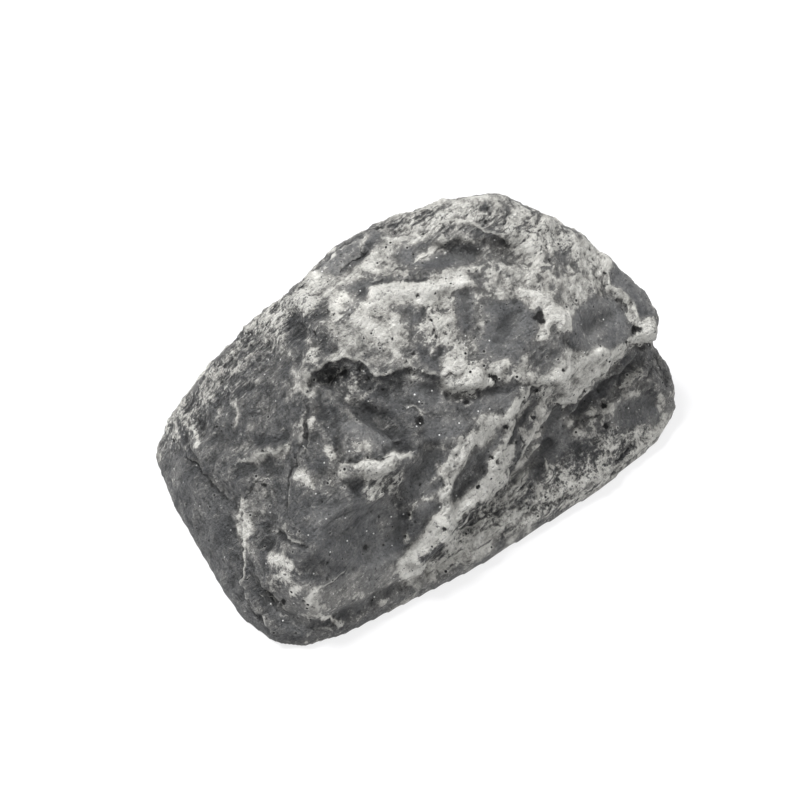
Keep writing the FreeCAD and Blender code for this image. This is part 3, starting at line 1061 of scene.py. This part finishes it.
group, given, result = new_group(
    "pinholes",
    [("Spacing", FLOAT, 1.2), ("Radius", FLOAT, 0.18), ("Share", FLOAT, 0.3)],
    [("Hole", FLOAT), ("Rim", FLOAT), ("Height", FLOAT)])
cell_scale = group.math("DIVIDE", PER_METRE, given["Spacing"])
cells = group.add("ShaderNodeTexVoronoi", {
    "Vector": group.inside(), "Scale": cell_scale})
chance = group.add("ShaderNodeSeparateColor", {"Color": cells["Color"]})
chosen = group.math("LESS_THAN", chance[0], given["Share"])
size_swing = group.times_plus(chance[1], 1.0, SMALLEST_HOLE)
hole_radius = group.math("DIVIDE", given["Radius"], given["Spacing"])
hole_radius = group.times(hole_radius, size_swing)
nearness = group.math("DIVIDE", cells["Distance"], hole_radius)
hole, bowl, rim = [group.ease(nearness, edge, chosen) for edge in (HOLE_EDGE, BOWL_EDGE, RIM_EDGE)]
group.join(result, {
    "Rim": group.math("SUBTRACT", rim, hole), "Hole": hole,
    "Height": group.times(bowl, -1.0)})
pinhole_group = group
print("group", group.tree.name, "has", len(group.tree.nodes), "nodes")

# %% [markdown]
# Weathered stone and brushed paint both have a grain: they run in streaks where the stone split.
# Noise is streaky when it is read at places drawn together along one direction. A streak value
# mixes the even noise with the streaky one.

# %% Streaky noise


def drawn_out(tree, given):
    """Places in the stone, even and drawn together along the streak direction."""
    where = tree.inside()
    direction = given["Streak direction"]
    along = tree.add("ShaderNodeVectorMath", {0: where, 1: direction}, operation="DOT_PRODUCT")
    lost = tree.math("SUBTRACT", tree.math("DIVIDE", 1.0, given["Streak length"]), 1.0)
    dropped = tree.times(along["Value"], lost)
    shift = tree.add("ShaderNodeVectorMath", {0: direction, "Scale": dropped}, operation="SCALE")
    drawn = tree.add("ShaderNodeVectorMath", {0: where, 1: shift[0]}, operation="ADD")
    return where, drawn[0]


def mixed_noise(tree, given, places, *settings):
    """Even or streaky noise, as the streak value says."""
    even, streaked = [tree.noise(place, *settings) for place in places]
    return tree.between(given["Streak"], even, streaked)


# %% Group: grit
COARSE_GRIT = (520.0, 4.0, 0.6, 0.2)
FINE_GRIT = (2100.0, 5.0, 0.68)
COARSE_SHARE = 0.45
FINE_SHARE = 0.55

group, given, result = new_group(
    "grit",
    [("Streak", FLOAT, 0.0), ("Streak direction", VECTOR, (1.0, 0.0, 0.0)),
     ("Streak length", FLOAT, 4.0)],
    [("Both", FLOAT), ("Fine", FLOAT)])
places = drawn_out(group, given)
coarse = mixed_noise(group, given, places, *COARSE_GRIT)
fine = mixed_noise(group, given, places, *FINE_GRIT)
both = group.times_plus(coarse, COARSE_SHARE, group.times(fine, FINE_SHARE))
group.join(result, {"Both": both, "Fine": fine})
grit_group = group
print("group", group.tree.name, "has", len(group.tree.nodes), "nodes")

# %% [markdown]
# The brush group turns the paint field into three masks: the full paint, a thin veil of it that
# reaches further, and the core of each mark, where it lies thickest and whitest. Noise at two
# sizes pushes the edge of each mark in and out, so that it breaks into islands and flecks as dry
# paint does. The fine grit of the surface pushes it too, because a brush only touches the tops of
# the grains. Where the stone is smooth, all of this is calmer.

# %% Group: dry brush
PATCHES = (5.0, 0.58, 0.6)
FLECKS = (4.0, 0.60, 0.3)
CALMING = -0.45
FEATHER = (130.0, 2.0)
FEATHER_EDGE = (0.42, 0.62)
CRISP_EDGE = (0.02, 0.26)
SOFT_EDGE = (-0.45, 0.80)
VEIL_EDGE = (-1.25, 0.35)
CORE_EDGE = (0.20, 1.30)

group, given, result = new_group(
    "dry brush",
    [("Field", FLOAT, 0.0), ("Stand", FLOAT, 0.0), ("Grit", FLOAT, 0.0), ("Calm", FLOAT, 0.0),
     ("Patch size", FLOAT, 4.0), ("Fleck size", FLOAT, 0.9), ("Patch push", FLOAT, 2.2),
     ("Fleck push", FLOAT, 1.1), ("Grit push", FLOAT, 0.8), ("Stand push", FLOAT, 0.35),
     ("Streak", FLOAT, 0.0), ("Streak direction", VECTOR, (1.0, 0.0, 0.0)),
     ("Streak length", FLOAT, 5.0)],
    [("Full paint", FLOAT), ("Veil", FLOAT), ("Core", FLOAT)])
places = drawn_out(group, given)


def brush_swing(size, settings):
    """Streaky noise of a size, from minus one to one."""
    scale = group.math("DIVIDE", PER_METRE, given[size])
    value = mixed_noise(group, given, places, scale, *settings)
    return group.times_plus(value, 2.0, -1.0)


restless = group.times_plus(brush_swing("Patch size", PATCHES), given["Patch push"], 0.0)
restless = group.times_plus(brush_swing("Fleck size", FLECKS), given["Fleck push"], restless)
restless = group.times_plus(given["Grit"], given["Grit push"], restless)
liveliness = group.times_plus(given["Calm"], CALMING, 1.0)
touched = group.times_plus(restless, liveliness, given["Field"])
touched = group.times_plus(given["Stand"], given["Stand push"], touched)
feather = group.ease(group.noise(places[0], *FEATHER), FEATHER_EDGE)
crisp_paint = group.ease(touched, CRISP_EDGE)
soft_paint = group.ease(touched, SOFT_EDGE)
group.join(result, {
    "Full paint": group.between(feather, crisp_paint, soft_paint),
    "Veil": group.ease(touched, VEIL_EDGE), "Core": group.ease(touched, CORE_EDGE)})
brush_group = group
print("group", group.tree.name, "has", len(group.tree.nodes), "nodes")

# %% [markdown]
# The weathered finish puts the groups together: cloudy resin, with shade painted in where it lies
# deep, a veil of paint and then full paint over it, pits and pinholes painted black as shade, and a
# few painted glints. One noise makes the grit, which lifts the surface, catches the paint and,
# where it lies low, takes painted shade.

# %% Finish: weathered resin with brushed paint
RESIN_DARK = (0.052, 0.054, 0.058, 1)
RESIN_LIGHT = (0.115, 0.117, 0.119, 1)
PAINT_WHITE = (0.78, 0.77, 0.73, 1)
PAINT_LIGHT = (0.65, 0.64, 0.60, 1)
PAINT_DULL = (0.30, 0.29, 0.27, 1)
PAINTED_SHADE_BLACK = (0.010, 0.010, 0.010, 1)
HOLLOW_SHADE = (0.62, 0.62, 0.61, 1)
HOLLOW_SHADE_EDGE = (-0.05, -0.7)

weathered, tree = new_finish("weathered_resin")
where = tree.inside()
calm = tree.field("smooth")
stand_value = tree.field("stand")
resin = tree.place(resin_group, {
    "Dark": RESIN_DARK, "Light": RESIN_LIGHT, "Cloud size": 5.0, "Grain size": 0.4,
    "Grain strength": 0.9})
# Painted shade: the resin colour is darker where the stone lies deep.
resin_with_hollow_shade = tree.mix(tree.ease(stand_value, HOLLOW_SHADE_EDGE), resin["Color"], HOLLOW_SHADE, "MULTIPLY")
print("finish", weathered.name, "has its resin")

# %% [markdown]
# The streaks run up to the right, as the stone split. Where the grit lies low, the colour is
# painted black: painted shade in the fine crevices.

# %% Grit: the fine relief under the paint
STREAK_RIGHT = 0.76
STREAK_UP = 0.65
CREVICE_SHADE_EDGE = (0.46, 0.36)
CREVICE_SHADE_STRENGTH = 0.75

streak_value = tree.field("streak")
streaks = {"Streak": streak_value,
           "Streak direction": (view_right * STREAK_RIGHT + view_up * STREAK_UP).tolist()}
grits = tree.place(grit_group, streaks)
grit = tree.times_plus(grits["Both"], 2.0, -1.0)
# Painted shade: black in the low places of the grit.
crevice_shade = tree.ease(grits["Both"], CREVICE_SHADE_EDGE, CREVICE_SHADE_STRENGTH)
resin_with_painted_shade = tree.mix(crevice_shade, resin_with_hollow_shade, PAINTED_SHADE_BLACK)
print("streaks run along", np.round(streaks["Streak direction"], 2))

# %% [markdown]
# In speckled and streaky places the flecks and the grit push the paint harder. The thick core of
# a mark is white, the rest of it is light with dull blotches, and the veil is dull with light
# flecks. Grit that lies low shows through as worn places, where the paint is gone and the resin
# with its painted shade shows; where the fine grit lies lowest, black specks are painted as shade.

# %% Paint over the resin
STREAKY_EDGE = (0.45, 1.0)
FLECK_PUSH = 1.1
SPECKLED_FLECK_PUSH = 0.8
GRIT_PUSH = 1.0
SPECKLED_GRIT_PUSH = 2.6
STREAKY_GRIT_PUSH = 1.8
BLOTCHES = (420.0, 8.0, 0.78)
BLOTCH_EDGE = (0.40, 0.64)
BLOTCH_ON_CORE = -0.45
VEIL_STRENGTH = 0.40
FLECK_EDGE = (0.54, 0.63)
FLECK_STRENGTH = 0.7
WORN_EDGE = (0.48, 0.40)
WORN_STRENGTH = 0.60
STREAKY_WORN_STRENGTH = 0.35
PORE_SHADE_EDGE = (0.43, 0.36)
PORE_SHADE_STRENGTH = 0.8

speckle_value = tree.field("speckle")
streaky_share = tree.ease(streak_value, STREAKY_EDGE)
grit_push = tree.times_plus(speckle_value, SPECKLED_GRIT_PUSH, GRIT_PUSH)
brush = tree.place(brush_group, {
    "Field": tree.field("paint"), "Stand": stand_value, "Grit": grit, "Calm": calm,
    "Fleck push": tree.times_plus(speckle_value, SPECKLED_FLECK_PUSH, FLECK_PUSH),
    "Grit push": tree.times_plus(streaky_share, STREAKY_GRIT_PUSH, grit_push), **streaks})
veil = brush["Veil"]
full_paint = brush["Full paint"]
blotches = tree.ease(tree.noise(where, *BLOTCHES), BLOTCH_EDGE)
paint_colour = tree.mix(blotches, PAINT_LIGHT, PAINT_DULL)
core = tree.times(tree.times_plus(blotches, BLOTCH_ON_CORE, 1.0), brush["Core"])
paint_colour = tree.mix(core, paint_colour, PAINT_WHITE)
coat = tree.mix(tree.times(veil, VEIL_STRENGTH), resin_with_painted_shade, PAINT_DULL)
flecks = tree.ease(grits["Fine"], FLECK_EDGE, veil)
coat = tree.mix(tree.times(flecks, FLECK_STRENGTH), coat, PAINT_LIGHT)
coat = tree.mix(full_paint, coat, paint_colour)
worn_strength = tree.times_plus(streaky_share, STREAKY_WORN_STRENGTH, WORN_STRENGTH)
worn = tree.ease(grits["Both"], WORN_EDGE, worn_strength)
coat = tree.mix(worn, coat, resin_with_painted_shade)
# Painted shade: black specks where the fine grit lies lowest.
pore_shade = tree.ease(grits["Fine"], PORE_SHADE_EDGE, PORE_SHADE_STRENGTH)
coat = tree.mix(pore_shade, coat, PAINTED_SHADE_BLACK)
print("finish", weathered.name, "has its paint")

# %% [markdown]
# Salt and pepper are single grains of paint and of dirt. They lie a little everywhere and thickly
# in speckled and streaky places, and the salt only where the veil reaches.

# %% Salt and pepper
PEPPER = (0.030, 0.031, 0.033, 1)
STREAKY_SALT = 0.8
SALT_EVERYWHERE = 0.24
CALM_SALT = -0.75
SALT_GRAINS = (1500.0, 3.0, 0.75)
PEPPER_EDGE = (0.48, 0.39)
SALT_EDGE = (0.53, 0.62)
PEPPER_STRENGTH = 0.85
SALT_STRENGTH = 0.80

roughest = tree.math("MAXIMUM", speckle_value, tree.times(streaky_share, STREAKY_SALT))
roughest = tree.math("MAXIMUM", roughest, SALT_EVERYWHERE)
roughest = tree.times(roughest, tree.times_plus(calm, CALM_SALT, 1.0))
grains = tree.noise(where, *SALT_GRAINS)
pepper = tree.ease(grains, PEPPER_EDGE, roughest)
salt = tree.times(tree.ease(grains, SALT_EDGE, roughest), veil)
coat = tree.mix(tree.times(pepper, PEPPER_STRENGTH), coat, PEPPER)
coat = tree.mix(tree.times(salt, SALT_STRENGTH), coat, PAINT_WHITE)
print("finish", weathered.name, "has its salt and pepper")

# %% [markdown]
# A crease line has a dark foot at the line itself, which is painted shade, and a bright rim on the
# side that stands proud, which is paint and also a painted highlight on the edge. The places below
# count in widths of the line. One noise makes the line wander, and others break the foot and the
# rim, because no crease is dark or bright along its whole length.

# %% Crease lines: a foot of painted shade and a rim of paint and painted highlight
WANDER = (900.0, 3.0, 0.6)
WANDER_WIDTH = 2.4
FOOT_BREAKS = (300.0, 4.0, 0.65)
FOOT_BREAK_EDGE = (0.42, 0.56)
FOOT_MIDDLE = 0.3
FOOT_EDGE = (1.15, 0.45)
CREASE_SHADE_STRENGTH = 0.85
RIM_BREAKS = (340.0, 4.0)
RIM_BREAK_EDGE = (0.40, 0.60)
RIM_START = (0.5, 1.1)
RIM_END = (3.6, 1.6)

crease_at = tree.times_plus(tree.noise(where, *WANDER), WANDER_WIDTH, tree.field("crease"))
crease_at = tree.math("SUBTRACT", crease_at, WANDER_WIDTH / 2)
from_foot = tree.math("ABSOLUTE", tree.math("ADD", crease_at, FOOT_MIDDLE))
foot_breaks = tree.ease(tree.noise(where, *FOOT_BREAKS), FOOT_BREAK_EDGE)
foot = tree.ease(from_foot, FOOT_EDGE, foot_breaks)
foot = tree.times(foot, tree.field("foot"))
rim_breaks = tree.ease(tree.noise(where, *RIM_BREAKS), RIM_BREAK_EDGE)
rim = tree.times(tree.ease(crease_at, RIM_START), tree.ease(crease_at, RIM_END))
rim = tree.times(tree.times(rim, tree.field("rim")), rim_breaks)
# Paint and painted highlight: the rim is light on the proud edge of each crease.
coat = tree.mix(rim, coat, PAINT_LIGHT)
# Painted shade: the foot of each crease is black.
coat = tree.mix(tree.times(foot, CREASE_SHADE_STRENGTH), coat, PAINTED_SHADE_BLACK)
print("finish", weathered.name, "has its crease lines")

# %% [markdown]
# Pinholes keep a thin rim of paint where the veil reaches, and are painted black inside as shade.
# The pits come from their field, with noise to break their edge, and are painted black as the shade
# in them. A few cells of a fine texture are painted glints.

# %% Pinholes, pits and painted glints
PINHOLE_RIMS = 0.35
PIT_BREAKS = (1100.0, 4.0, 0.65)
PIT_GROWTH = 0.15
PIT_EDGE = (0.30, 0.52)
GLINT_SCALE = 1100.0
GLINT_EDGE = (0.19, 0.09)
GLINT_SHARE = 0.10
GLINT = (0.75, 0.75, 0.74, 1)

pinholes = tree.place(pinhole_group, {"Spacing": 1.25, "Radius": 0.17, "Share": 0.30})
coat = tree.mix(tree.times(tree.times(pinholes["Rim"], veil), PINHOLE_RIMS), coat, PAINT_WHITE)
# Painted shade: pinholes are black inside.
coat = tree.mix(pinholes["Hole"], coat, PAINTED_SHADE_BLACK)
pit_edge = tree.times_plus(tree.noise(where, *PIT_BREAKS), 1.0, tree.field("pit"))
pit_share = tree.ease(tree.math("SUBTRACT", pit_edge, PIT_GROWTH), PIT_EDGE)
# Painted shade: the pits are black inside, out to their broken edge.
coat = tree.mix(pit_share, coat, PAINTED_SHADE_BLACK)
# Painted highlight: a few tiny cells are glints, light in colour.
glints = tree.add("ShaderNodeTexVoronoi", {"Vector": where, "Scale": GLINT_SCALE})
glint_chance = tree.add("ShaderNodeSeparateColor", {"Color": glints["Color"]})[0]
chosen = tree.math("LESS_THAN", glint_chance, GLINT_SHARE)
coat = tree.mix(tree.ease(glints["Distance"], GLINT_EDGE, chosen), coat, GLINT)
print("finish", weathered.name, "has its pits")

# %% [markdown]
# The grit, the paint, the pinholes and the crease lines together make the fine height for the
# bump. Paint is duller than resin, and so is grit that stands high.

# %% Bump and gloss of the weathered finish
CALM_BUMP = -0.6
PAINT_BUMP = 0.05
PINHOLE_BUMP = 0.25
FOOT_BUMP = -0.25
RIM_BUMP = 0.12
RESIN_ROUGHNESS = 0.44
PAINT_ROUGHNESS = 0.30
GRIT_ROUGHNESS = 0.14

height = tree.times(grit, tree.times_plus(calm, CALM_BUMP, 1.0))
height = tree.times_plus(full_paint, PAINT_BUMP, height)
height = tree.times_plus(pinholes["Height"], PINHOLE_BUMP, height)
height = tree.times_plus(foot, FOOT_BUMP, height)
height = tree.times_plus(rim, RIM_BUMP, height)
bump = tree.add("ShaderNodeBump", {"Height": height, "Strength": 1.0, "Distance": 0.0020})
rough = tree.times_plus(full_paint, PAINT_ROUGHNESS, RESIN_ROUGHNESS)
rough = tree.times_plus(grits["Both"], GRIT_ROUGHNESS, rough)
tree.surface({"Base Color": coat, "Roughness": rough, "Normal": bump["Normal"],
              "Specular IOR Level": 0.45})
print("finish", weathered.name, "has", len(tree.tree.nodes), "nodes")

# %% [markdown]
# The base was rubbed flat on a sanding belt, which leaves a paler, even grey with fine scratches
# all one way and opens the bubbles as black pinholes. Its two edges are chipped and pale.

# %% Finish: sanded base
SCRATCH_TURN = (0, 0, 0.35)
SCRATCH_SCALE = (120.0, 3200.0, 120.0)
SCRATCHES = (1.0, 3.0, 0.7)
SCRATCH_EDGE = (0.45, 0.75)
SCRATCH_GREY = (0.22, 0.22, 0.22, 1)
SMEARS = (90.0, 5.0, 0.65, 0.6)
SMEAR_EDGE = (0.55, 0.72)
SMEAR_STRENGTH = 0.55
SMEAR_GREY = (0.42, 0.41, 0.39, 1)
CHIPPING = (700.0, 4.0, 0.65)
CHIPPING_SHARE = 0.5
CHIPPED_EDGE = (0.32, 0.52)
CHIPPED_STRENGTH = 0.75
CHIPPED_GREY = (0.46, 0.455, 0.43, 1)
SCRATCH_BUMP = 0.5

sanded, tree = new_finish("sanded_resin")
resin = tree.place(resin_group, {
    "Dark": (0.085, 0.088, 0.093, 1), "Light": (0.135, 0.138, 0.142, 1), "Cloud size": 9.0,
    "Grain size": 0.35, "Grain strength": 0.2})
where = tree.inside()
stretched = tree.add("ShaderNodeMapping", {
    "Vector": where, "Rotation": SCRATCH_TURN, "Scale": SCRATCH_SCALE})
scratches = tree.noise(stretched[0], *SCRATCHES)
ground = tree.mix(tree.ease(scratches, SCRATCH_EDGE), resin["Color"], SCRATCH_GREY)
smears = tree.ease(tree.noise(where, *SMEARS), SMEAR_EDGE, SMEAR_STRENGTH)
ground = tree.mix(smears, ground, SMEAR_GREY)
both_edges = tree.math("ADD", tree.field("mouth"), tree.field("arris"))
chipped = tree.times_plus(tree.noise(where, *CHIPPING), CHIPPING_SHARE, both_edges)
chipped = tree.ease(chipped, CHIPPED_EDGE, CHIPPED_STRENGTH)
ground = tree.mix(chipped, ground, CHIPPED_GREY)
pinholes = tree.place(pinhole_group, {"Spacing": 1.9, "Radius": 0.26, "Share": 0.30})
# Painted shade: the opened bubbles of the base are black inside.
ground = tree.mix(pinholes["Hole"], ground, PAINTED_SHADE_BLACK)
height = tree.times_plus(scratches, SCRATCH_BUMP, pinholes["Height"])
bump = tree.add("ShaderNodeBump", {"Height": height, "Strength": 0.6, "Distance": 0.00012})
tree.surface({"Base Color": ground, "Roughness": 0.62, "Normal": bump["Normal"]})
print("finish", sanded.name, "has", len(tree.tree.nodes), "nodes")

# %% [markdown]
# The pocket keeps the skin that the mould left, a little green and bubbly. Its colour is darker than
# the outside as painted shade in the pocket, and its bubbles are painted black as shade.

# %% Finish: moulded pocket with painted shade
RING_GREY = (0.14, 0.14, 0.125, 1)
RING_STRENGTH = 0.35
BUBBLE_STRENGTH = 0.7
SMALL_STRENGTH = 0.6
GRAIN_BUMP = 0.5
SMALL_BUMP = 0.5

moulded, tree = new_finish("moulded_pocket_with_painted_shade")
# Painted shade: the pocket's resin is darker than the outside.
resin = tree.place(resin_group, {
    "Dark": (0.038, 0.039, 0.034, 1), "Light": (0.080, 0.081, 0.072, 1), "Cloud size": 4.0,
    "Grain size": 0.5, "Grain strength": 0.35})
bubbles = tree.place(pinhole_group, {"Spacing": 2.4, "Radius": 0.55, "Share": 0.45})
small = tree.place(pinhole_group, {"Spacing": 1.0, "Radius": 0.22, "Share": 0.4})
skin = tree.mix(tree.times(bubbles["Rim"], RING_STRENGTH), resin["Color"], RING_GREY)
# Painted shade: bubble holes are black.
skin = tree.mix(tree.times(bubbles["Hole"], BUBBLE_STRENGTH), skin, PAINTED_SHADE_BLACK)
skin = tree.mix(tree.times(small["Hole"], SMALL_STRENGTH), skin, PAINTED_SHADE_BLACK)
height = tree.times_plus(resin["Grain"], GRAIN_BUMP, bubbles["Height"])
height = tree.times_plus(small["Height"], SMALL_BUMP, height)
bump = tree.add("ShaderNodeBump", {"Height": height, "Strength": 0.8, "Distance": 0.0003})
tree.surface({"Base Color": skin, "Roughness": 0.55, "Normal": bump["Normal"]})
print("finish", moulded.name, "has", len(tree.tree.nodes), "nodes")

# %% [markdown]
# A square that touches the pocket gets the pocket's finish, one that lies wholly on the base gets
# the base's, and the others get the weathered one. The piece then takes the place of the casting
# and of its coat of paint.

# %% Give each face its finish
WEATHERED, SANDED, MOULDED = range(3)

for finish in (weathered, sanded, moulded):
    rock.data.materials.append(finish)
kind_of_point = np.where(on_base, SANDED, np.where(in_pocket, MOULDED, WEATHERED))
corner_kinds = kind_of_point[read_rows(rock.data.polygons, "vertices", 4, int)]
all_base = np.all(corner_kinds == SANDED, axis=1)
any_pocket = np.any(corner_kinds == MOULDED, axis=1)
face_kind = np.where(any_pocket, MOULDED, np.where(all_base, SANDED, WEATHERED))
rock.data.polygons.foreach_set("material_index", face_kind.astype(np.int32))
rock.data.polygons.foreach_set("use_smooth", np.ones(len(face_kind), bool))
rock.data.update()
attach(rock, "root")
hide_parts("rock_casting", "highlight_coat")
print("faces by finish", np.bincount(face_kind))

# %% [markdown]
# The stone stands on a plain pale floor. A large soft light above and behind it, a wide one in
# front and an even white surrounding give the bright top, the darker front and the faint shadow.

# %% Floor
FLOOR_HALF = 6.0
FLOOR_DROP = 0.00005

floor_mesh = bpy.data.meshes.new("floor")
floor_corners = [(-FLOOR_HALF, -FLOOR_HALF, 0), (FLOOR_HALF, -FLOOR_HALF, 0),
                 (FLOOR_HALF, FLOOR_HALF, 0), (-FLOOR_HALF, FLOOR_HALF, 0)]
floor_mesh.from_pydata(floor_corners, [], [(0, 1, 2, 3)])
floor = bpy.data.objects.new("floor", floor_mesh)
floor.location.z = -FLOOR_DROP
bpy.context.scene.collection.objects.link(floor)
floor_finish, tree = new_finish("pale_floor")
tree.surface({
    "Base Color": (0.22, 0.22, 0.225, 1), "Roughness": 0.9, "Specular IOR Level": 0.1,
    "Emission Color": (1, 1, 1, 1), "Emission Strength": 0.72})
floor_mesh.materials.append(floor_finish)
print("floor", 2 * FLOOR_HALF, "m wide")

# %% Lights
WHITE = (1.0, 1.0, 1.0, 1)
SURROUND_STRENGTH = 0.56
LIGHT_AIM = (0, 0, 0.02)

world = bpy.data.worlds.new("studio")
world.use_nodes = True
background = world.node_tree.nodes["Background"]
background.inputs["Color"].default_value = WHITE
background.inputs["Strength"].default_value = SURROUND_STRENGTH
around = Shading(world.node_tree)
backdrop = around.add("ShaderNodeBackground", {"Color": WHITE, "Strength": 1.0})
to_camera = around.add("ShaderNodeLightPath")["Is Camera Ray"]
studio = around.add("ShaderNodeMixShader", {0: to_camera, 1: background.outputs[0], 2: backdrop[0]})
around.join(world.node_tree.nodes["World Output"], {"Surface": studio[0]})
bpy.context.scene.world = world


def soft_light(name, place, size, power):
    data = bpy.data.lights.new(name, "AREA")
    data.shape = "DISK"
    data.size = size
    data.energy = power
    light = bpy.data.objects.new(name, data)
    light.location = place
    light.rotation_euler = (Vector(LIGHT_AIM) - Vector(place)).to_track_quat("-Z", "Y").to_euler()
    bpy.context.scene.collection.objects.link(light)


soft_light("soft_box", (-0.13, 0.31, 0.66), 0.26, 9.2)
soft_light("soft_fill", (0.42, -0.38, 0.42), 0.50, 2.3)
bpy.context.scene.view_settings.view_transform = "Standard"
